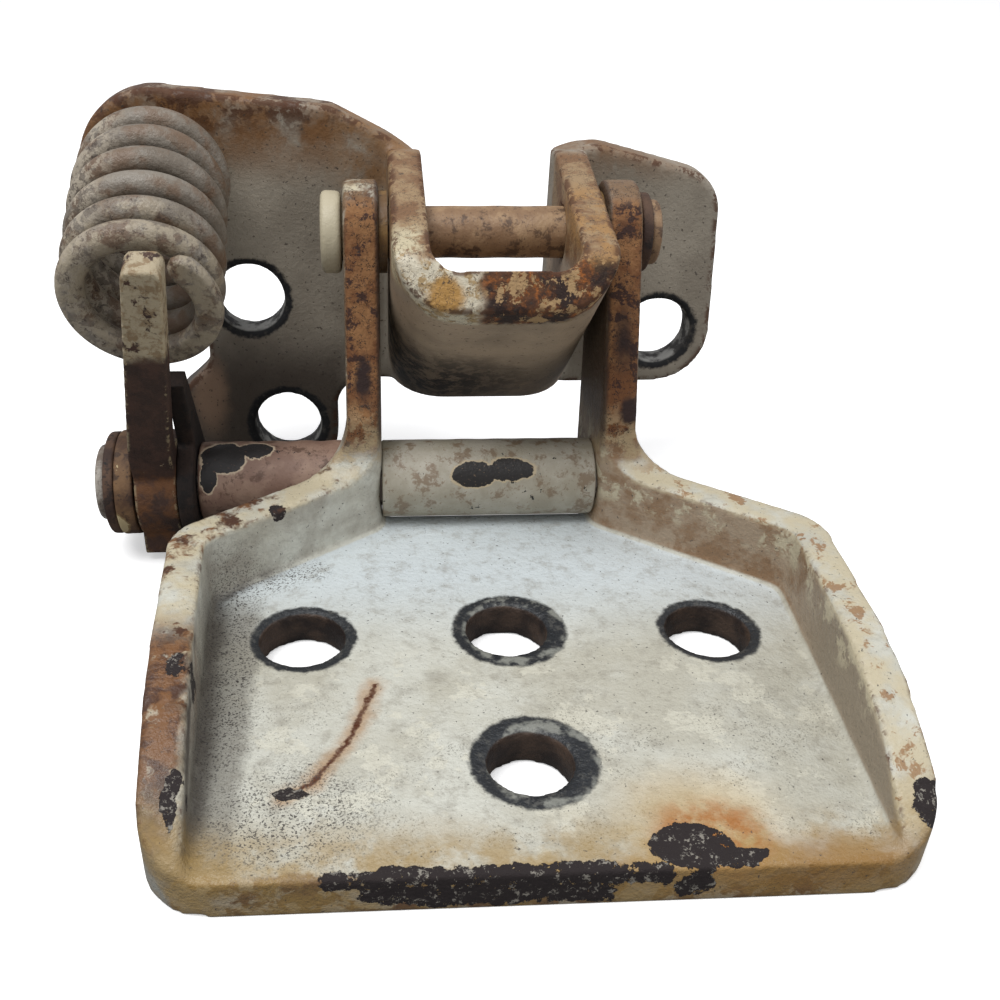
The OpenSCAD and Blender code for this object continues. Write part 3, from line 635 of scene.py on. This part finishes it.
def spring_paint():
    """Grey paint on spring wire, worn to brown and white flakes on the outside of the coils."""
    made, t = new_tree("spring_grey_paint_worn_to_brown_wire")
    p = place_mm(t)
    r = warp(t, p, 1.6, 0.9, 4.0)
    x, y = (axis(t, r, k) for k in range(2))
    colour = over(t, patches(t, r, 6.0, 0.38, 0.6, 5, rough=0.65), "8b8378", "746a5e")
    brown = both(t, patches(t, r, 5.0, 0.46, 0.64, 29, detail=3.0, rough=0.6), 0.7)
    colour = over(t, brown, colour, "70553e")
    left = ease(t, x, -54.0, -60.0)
    flakes = both(t, left, patches(t, r, 1.6, 0.47, 0.52, 17, rough=0.75))
    colour = over(t, both(t, flakes, 0.8), colour, "b5aa98")
    pits = any_of(t, left, ease(t, y, 34.0, 30.0))
    pits = both(t, pits, patches(t, r, 1.2, 0.56, 0.62, 52, rough=0.75), 0.7)
    colour = over(t, pits, colour, "3b2f29")
    front = both(t, ease(t, y, 32.0, 28.0), patches(t, r, 3.0, 0.45, 0.56, 77))
    colour = over(t, both(t, front, 0.8), colour, "a99d88")
    height = noise(t, p, 0.7, 3.0, 0.7)
    finish(t, colour, over_value(t, any_of(t, pits, flakes), 0.42, 0.75), height, 0.25)
    return made


# ---------------------------------------------------------------- pieces
def keep(obj, body, slot, material, *nodes):
    """Gives a piece its material and body, and lets it stand for its CAD nodes."""
    obj.data.materials.clear()
    obj.data.materials.append(material)
    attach(obj, body)
    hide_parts(*nodes)


def rounded_copy(node, name, voxel, passes):
    """A CAD node merged, rebuilt on an even grid of voxel millimetres and relaxed, so its edges turn soft."""
    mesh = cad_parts[node].data.copy()
    work = bmesh.new()
    work.from_mesh(mesh)
    bmesh.ops.remove_doubles(work, verts=work.verts, dist=0.001 * MM)
    work.to_mesh(mesh)
    work.free()
    obj = bpy.data.objects.new(name, mesh)
    bpy.context.collection.objects.link(obj)
    grid = obj.modifiers.new("grid", "REMESH")
    grid.mode = "VOXEL"
    grid.voxel_size = voxel * MM
    grid.use_smooth_shade = True
    relax = obj.modifiers.new("relax", "SMOOTH")
    relax.factor = 0.5
    relax.iterations = passes
    return obj


def grid_mesh(name, points, loop_rows):
    """A mesh over an (n, m, 3) grid of points in millimetres. Columns always close; rows close if loop_rows.
    Open rows end in a fan, so the skin is shut."""
    n, m, _ = points.shape
    index = np.arange(n * m).reshape(n, m)
    a = index if loop_rows else index[:-1]
    b = np.roll(index, -1, axis=0) if loop_rows else index[1:]
    quads = np.stack([a, np.roll(a, -1, axis=1), np.roll(b, -1, axis=1), b], axis=-1).reshape(-1, 4)
    verts = points.reshape(-1, 3)
    faces = [tuple(q) for q in quads.tolist()]
    if not loop_rows:
        verts = np.vstack([verts, points[0].mean(0), points[-1].mean(0)])
        first = np.stack([np.roll(index[0], -1), index[0], np.full(m, n * m)], axis=-1)
        last = np.stack([index[-1], np.roll(index[-1], -1), np.full(m, n * m + 1)], axis=-1)
        faces += [tuple(f) for f in np.vstack([first, last]).tolist()]
    mesh = bpy.data.meshes.new(name)
    mesh.from_pydata((verts * MM).tolist(), [], faces)
    mesh.polygons.foreach_set("use_smooth", np.ones(len(mesh.polygons), bool))
    mesh.validate()
    mesh.update()
    obj = bpy.data.objects.new(name, mesh)
    bpy.context.collection.objects.link(obj)
    return obj


def soft_profile(corners, radius, closed, steps=6):
    """The corners of a profile, each cut back by up to radius and bridged with a short curve."""
    pts = np.array(corners, float)
    count = len(pts)
    made = []
    for k in range(count):
        if not closed and k in (0, count - 1):
            made.append(pts[k][None])
            continue
        here, back, on = pts[k], pts[k - 1], pts[(k + 1) % count]
        reach = min(radius, 0.45 * np.linalg.norm(back - here), 0.45 * np.linalg.norm(on - here))
        start = here + reach * (back - here) / np.linalg.norm(back - here)
        end = here + reach * (on - here) / np.linalg.norm(on - here)
        s = np.linspace(0, 1, steps)[:, None]
        made.append((1 - s) ** 2 * start + 2 * s * (1 - s) * here + s ** 2 * end)
    return np.vstack(made)


def refine(profile, gap, closed):
    """Adds points along a profile so that none are more than gap millimetres apart."""
    ends = np.vstack([profile, profile[:1]]) if closed else profile
    made = []
    for a, b in zip(ends[:-1], ends[1:]):
        count = max(1, int(np.ceil(np.linalg.norm(b - a) / gap)))
        made.append(a + (b - a) * np.arange(count)[:, None] / count)
    if not closed:
        made.append(ends[-1:])
    return np.vstack(made)


WAVES = 6          # slow waves round a turned piece
CALM_R = 2.0       # inside this radius the waves die away, so that the middle of an end stays flat
PROFILE_GAP = 0.8  # millimetres between the points of a profile


def turned(name, corners, axis_y, axis_z, radius=0.5, closed=False, uneven=0.05, seed=1, sides=96):
    """A round piece about an axis along X: the profile of (x, r) corners swept through a full turn.
    Its radius swells and sinks by up to uneven millimetres in slow waves."""
    profile = refine(soft_profile(corners, radius, closed), PROFILE_GAP, closed)
    turn = np.linspace(0, 2 * np.pi, sides, endpoint=False)
    x, r = profile[:, :1], profile[:, 1:]
    random = np.random.default_rng(seed)
    wave = sum(np.sin(k * turn[None] + x * random.uniform(0.3, 1.4) + random.uniform(0, 6))
               for k in range(1, 1 + WAVES)) / 4
    r = np.maximum(r + uneven * wave * np.minimum(1, r / CALM_R), 0)
    across = np.broadcast_to(x, r.shape)
    points = np.stack([across, axis_y + r * np.cos(turn), axis_z + r * np.sin(turn)], axis=-1)
    return grid_mesh(name, points, closed)


def ring_corners(x0, x1, bore, r):
    """Closed profile of a ring from x0 to x1."""
    return [(x0, bore), (x0, r), (x1, r), (x1, bore)]


SPRING_RADIUS = 9.9              # to the middle of the wire
WIRE = 2.1                       # the wire's radius
TURNS = 6.6
CLOSED_TURNS = 0.6               # at each end
CLOSED_PITCH = 1.03 * 2 * WIRE
COIL_START = 200                 # where the wire begins on its turn, in degrees
SEAT_TILT = math.radians(2)
SEAT_GAP = 0.3                   # room between the spring and the wing
LEAN = math.radians(19)          # how far the lever leans forward
RING_TILT = math.radians(20)
RING_UP = 34.4                   # along the lever from the cross pin to the end ring's middle
RING_BACK = 2.5                  # from there back, square to the lever
RING_SIDE = 1.2                  # how far the end ring lies right of the seat
WIRE_STEPS = 560                 # rings of the skin along the wire
WIRE_SIDES = 20
GROUND_TURNS = 0.9               # how far from a tip the grinding of an end face fades out
GROUND_DEPTH = 0.45              # how much of the wire's radius the grinding takes off
TIP_TURNS = 0.035                # how far from a tip the wire starts to thin
TIP_SIZE = 0.35                  # of the wire's radius, left at the tip


def spring_mesh(name):
    """Spring wire: a circle swept along a helix round a cubic curve, level at the seat, square to the lever.
    The helix is closed at both ends, its end faces are ground flat and its tips are thinned."""
    rise = np.array([0, -math.sin(LEAN), math.cos(LEAN)])
    front = np.array([0, -math.cos(LEAN), -math.sin(LEAN)])
    ring_mid = np.array([STUD[0] + RING_SIDE, SHAFT[1], SHAFT[2]]) + RING_UP * rise - RING_BACK * front
    lift = WIRE + SEAT_GAP + SPRING_RADIUS * math.sin(SEAT_TILT)
    seat_mid = np.array([STUD[0], LEAF_FRONT - lift, STUD[2]])
    span = np.linalg.norm(seat_mid - ring_mid)
    seat_bend = seat_mid + span / 3 * np.array([0, -math.cos(SEAT_TILT), -math.sin(SEAT_TILT)])
    ring_bend = ring_mid - span / 3 * np.array([0, -math.cos(RING_TILT), -math.sin(RING_TILT)])
    u = np.linspace(0, TURNS, WIRE_STEPS)
    a = np.minimum(u, CLOSED_TURNS)
    c = np.maximum(0, u - (TURNS - CLOSED_TURNS))
    open_pitch = (span - 2 * CLOSED_TURNS * CLOSED_PITCH) / (TURNS - 2 * CLOSED_TURNS)
    s = ((a + c) * CLOSED_PITCH + (u - a - c) * open_pitch)[:, None] / span
    t = 1 - s
    mid = t ** 3 * seat_mid + 3 * t ** 2 * s * seat_bend + 3 * t * s ** 2 * ring_bend + s ** 3 * ring_mid
    first, second, third = seat_bend - seat_mid, ring_bend - seat_bend, ring_mid - ring_bend
    way = t ** 2 * first + 2 * t * s * second + s ** 2 * third
    tilt = np.arctan2(-way[:, 2], -way[:, 1])
    zero = np.zeros_like(tilt)
    up = np.stack([zero, -np.sin(tilt), np.cos(tilt)], axis=-1)
    along = np.stack([zero, -np.cos(tilt), -np.sin(tilt)], axis=-1)
    w = np.radians(360 * u + COIL_START)[:, None]
    out = np.cos(w) * np.array([1.0, 0, 0]) + np.sin(w) * up
    v = np.linspace(0, 2 * np.pi, WIRE_SIDES, endpoint=False)[None]
    near_start = np.clip(1 - u / GROUND_TURNS, 0, 1)[:, None]
    near_end = np.clip(1 - (TURNS - u) / GROUND_TURNS, 0, 1)[:, None]
    tip = np.clip(np.minimum(u, TURNS - u) / TIP_TURNS, 0, 1)[:, None] ** 0.5
    thick = WIRE * (TIP_SIZE + (1 - TIP_SIZE) * tip)
    off = thick * np.sin(v)
    off = np.minimum(off, thick * (1 - GROUND_DEPTH * near_end))
    off = np.maximum(off, -thick * (1 - GROUND_DEPTH * near_start))
    wide = SPRING_RADIUS + thick * np.cos(v)
    points = mid[:, None] + wide[..., None] * out[:, None] + off[..., None] * along[:, None]
    return grid_mesh(name, points[:, ::-1], False)


def build_plates():
    """The two stampings and the lever's parts, rounded from the CAD."""
    tray = rounded_copy("door_plate", "door_plate_stamping", 0.58, 6)
    keep(tray, "door_leaf", "door_paint", door_paint(), "door_plate")
    wings = rounded_copy("body_plate", "body_plate_stamping", 0.55, 9)
    keep(wings, "body_leaf", "body_paint", body_paint(), "body_plate")
    bar = rounded_copy("check_lever", "lever_forging", 0.32, 6)
    keep(bar, "lever", "lever_steel", lever_paint(), "check_lever")
    dark = stained_steel("backing_plate_dark_rusted_steel", "33251e", "1f1714", "130f0e", 31, 0.85)
    side_plate = rounded_copy("backing_plate", "backing_plate_pressing", 0.32, 5)
    keep(side_plate, "lever", "plate_steel", dark, "backing_plate")


PIN_R = 4.0         # the hinge pin's shank
SHAFT_R = 4.5       # the cross pin's shank
PRESS = 0.02        # room of a pressed joint
HEAD_ROOM = 0.3     # between the hinge pin's head and the arm
PIN_TAIL = 1.7      # length of the hinge pin's riveted end
RIVET_OVER = 1      # how much wider that end is than the pin
SHAFT_TAIL = 1.65   # length of the cross pin's riveted end


def tube(name, node, about, bore, radius, uneven, seed):
    """A ring or tube the size of its CAD node, about an axis along X, with its rims rounded to radius."""
    low, high = box_mm(node)
    corners = ring_corners(low[0], high[0], bore + PRESS, (high[2] - low[2]) / 2)
    return turned(name, corners, about[1], about[2], radius, True, uneven, seed)


def build_hinge_pin(brown):
    """The hinge pin with its cream head and its riveted end, and the washer under that end."""
    left, right = PIN_LOW[0], PIN_HIGH[0]
    head_r = (PIN_HIGH[2] - PIN_LOW[2]) / 2
    head_x = -ARM_OUT - HEAD_ROOM
    tail_x = right - PIN_TAIL
    tail_r = PIN_R + RIVET_OVER
    look = stained_steel("hinge_pin_steel_stained_brown", "a88a69", "86684c", "4a3527", 12, 0.5,
                         head=(-ARM_OUT, "bfb59b"))
    corners = [(left, 0), (left, head_r), (head_x, head_r), (head_x, PIN_R), (tail_x, PIN_R),
               (tail_x, tail_r), (right, tail_r), (right, 0)]
    pin = turned("hinge_pin_body", corners, PIVOT[1], PIVOT[2], 1.0)
    keep(pin, "body_leaf", "pin_steel", look, "hinge_pin")
    washer = tube("pin_end_washer", "pin_washer", PIVOT, PIN_R, 0.4, 0.05, 1)
    keep(washer, "body_leaf", "plate_steel", brown, "pin_washer")


def build_tubes():
    """The painted tube between the arms and the stained sleeve between the left arm and the lever."""
    look = stained_steel("tube_thin_grey_cream_paint", "aca698", "9b9483", "7a6650", 5, 0.45,
                         [((-2.5, 28.6, 15.6), (3.6, 3, 2.2)), ((3.2, 28.8, 16.2), (4.2, 3, 1.7))])
    middle_tube = tube("cross_tube_body", "cross_tube", SHAFT, SHAFT_R, 0.4, 0.04, 3)
    keep(middle_tube, "door_leaf", "tube_paint", look, "cross_tube")
    look = stained_steel("sleeve_paint_stained_pinkish_brown", "a08472", "86695a", "5a4032", 25, 0.55,
                         [((-43, 31.6, 18), (3.6, 4, 2.2)), ((-38, 32.4, 18.8), (3.6, 3, 1.2)),
                          ((-45.2, 29.6, 15.5), (1.3, 3, 2.6))], "201c1c", "c8b49a")
    sleeve = tube("spacer_sleeve_body", "spacer_sleeve", SHAFT, SHAFT_R, 0.5, 0.1, 4)
    keep(sleeve, "door_leaf", "sleeve_paint", look, "spacer_sleeve")


def build_cross_pin(brown):
    """The collar and washer outside the lever's hub, and the cross pin with its riveted end."""
    look = stained_steel("collar_brown_steel_with_cream_left", "7a5c3e", "4d3526", "33231c", 66, 0.7,
                         [((-60, 26.2, 7), (2, 2.5, 3.5))], "c9b68c", "8f7650")
    collar = tube("thrust_collar_body", "thrust_collar", SHAFT, SHAFT_R, 0.5, 0.1, 5)
    keep(collar, "door_leaf", "lever_steel", look, "thrust_collar")
    washer = tube("end_washer_body", "end_washer", SHAFT, SHAFT_R, 0.5, 0.12, 6)
    keep(washer, "door_leaf", "plate_steel", brown, "end_washer")
    low, high = box_mm("cross_pin")
    left, right = low[0], high[0]
    end_r = (high[2] - low[2]) / 2
    end_x = left + SHAFT_TAIL
    look = stained_steel("cross_pin_end_worn_bright_and_flaked", "b3aca2", "6a5c50", "3c2f28", 81, 0.45)
    corners = [(left, 0), (left, end_r), (end_x, end_r), (end_x, SHAFT_R), (right, SHAFT_R), (right, 0)]
    shaft = turned("cross_pin_body", corners, SHAFT[1], SHAFT[2], 0.9, uneven=0.08, seed=7)
    keep(shaft, "door_leaf", "pin_steel", look, "cross_pin")


def build_turned():
    """The pins, tubes, sleeves and washers."""
    brown = stained_steel("washers_dark_brown_rusted_steel", "5b4333", "3b2820", "1f1715", 44, 0.75)
    build_hinge_pin(brown)
    build_tubes()
    build_cross_pin(brown)


def build_rest():
    """The spring, and finishes for the small parts that keep their CAD shape."""
    keep(spring_mesh("coil_spring_wire"), "body_leaf", "spring_paint", spring_paint(), "coil_spring")
    bronze = stained_steel("bush_bronze_gone_dull", "8a6a3c", "6b4e2c", "3c2c1c", 90, 0.5)
    stud = stained_steel("stud_plain_steel_gone_dark", "6c6258", "4d443c", "2a2421", 95, 0.55)
    for node, look in (("pin_bush_left", bronze), ("pin_bush_right", bronze), ("lever_bush", bronze),
                       ("spring_stud", stud)):
        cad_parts[node].data.materials.clear()
        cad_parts[node].data.materials.append(look)


# ---------------------------------------------------------------- studio
def panel(name, place, target, size, power):
    """A square soft light of size metres at place, facing target."""
    data = bpy.data.lights.new(name, "AREA")
    data.energy = power
    data.size = size
    light = bpy.data.objects.new(name, data)
    way = Vector(target) - Vector(place)
    light.matrix_world = Matrix.Translation(Vector(place)) @ way.to_track_quat("-Z", "Y").to_matrix().to_4x4()
    bpy.context.collection.objects.link(light)


FLOOR_HALF = 3.0    # metres
FLOOR_GLOW = 0.42   # keeps the card near white to the eye, and lights nothing


def build_floor():
    """A matt card that looks white from the camera and throws only a grey light back on the hinge."""
    corners = [(x * FLOOR_HALF, y * FLOOR_HALF, 0) for x, y in ((-1, -1), (1, -1), (1, 1), (-1, 1))]
    mesh = bpy.data.meshes.new("floor")
    mesh.from_pydata(corners, [], [(0, 1, 2, 3)])
    floor = bpy.data.objects.new("floor", mesh)
    bpy.context.collection.objects.link(floor)
    made, tree = new_tree("studio_floor_matt_white_card")
    shader = tree.nodes["Principled BSDF"]
    seen = add(tree, "LightPath", out="Is Camera Ray")
    glow = add(tree, "Math", {0: seen, 1: FLOOR_GLOW}, operation="MULTIPLY")
    tree.links.new(over(tree, seen, "7c7c7c", "fafafa"), shader.inputs["Base Color"])
    tree.links.new(glow, shader.inputs["Emission Strength"])
    shader.inputs["Roughness"].default_value = 1.0
    shader.inputs["Emission Color"].default_value = linear("ffffff")
    mesh.materials.append(made)
    floor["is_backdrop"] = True


def build_studio():
    """A pale floor, a white surround and two soft panels."""
    build_floor()
    world = bpy.data.worlds.new("surround")
    bpy.context.scene.world = world
    world.use_nodes = True
    back = world.node_tree.nodes["Background"]
    back.inputs["Color"].default_value = linear("fbfcff")
    back.inputs["Strength"].default_value = 0.5
    panel("panel_above", (-0.25, -0.15, 0.75), (0, 0, 0), 0.45, 4.6)
    panel("panel_right", (0.7, -0.1, 0.45), (0, 0.02, 0.02), 0.4, 1.2)
    bpy.context.scene.view_settings.view_transform = "Standard"


set_camera()
build_plates()
build_turned()
build_rest()
build_studio()


def plain(value):
    """Bounds as plain lists."""
    return float(value) if isinstance(value, (int, float)) else [plain(v) for v in value]


{"cad": plain(cad_bounds), "visual": plain(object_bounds())}
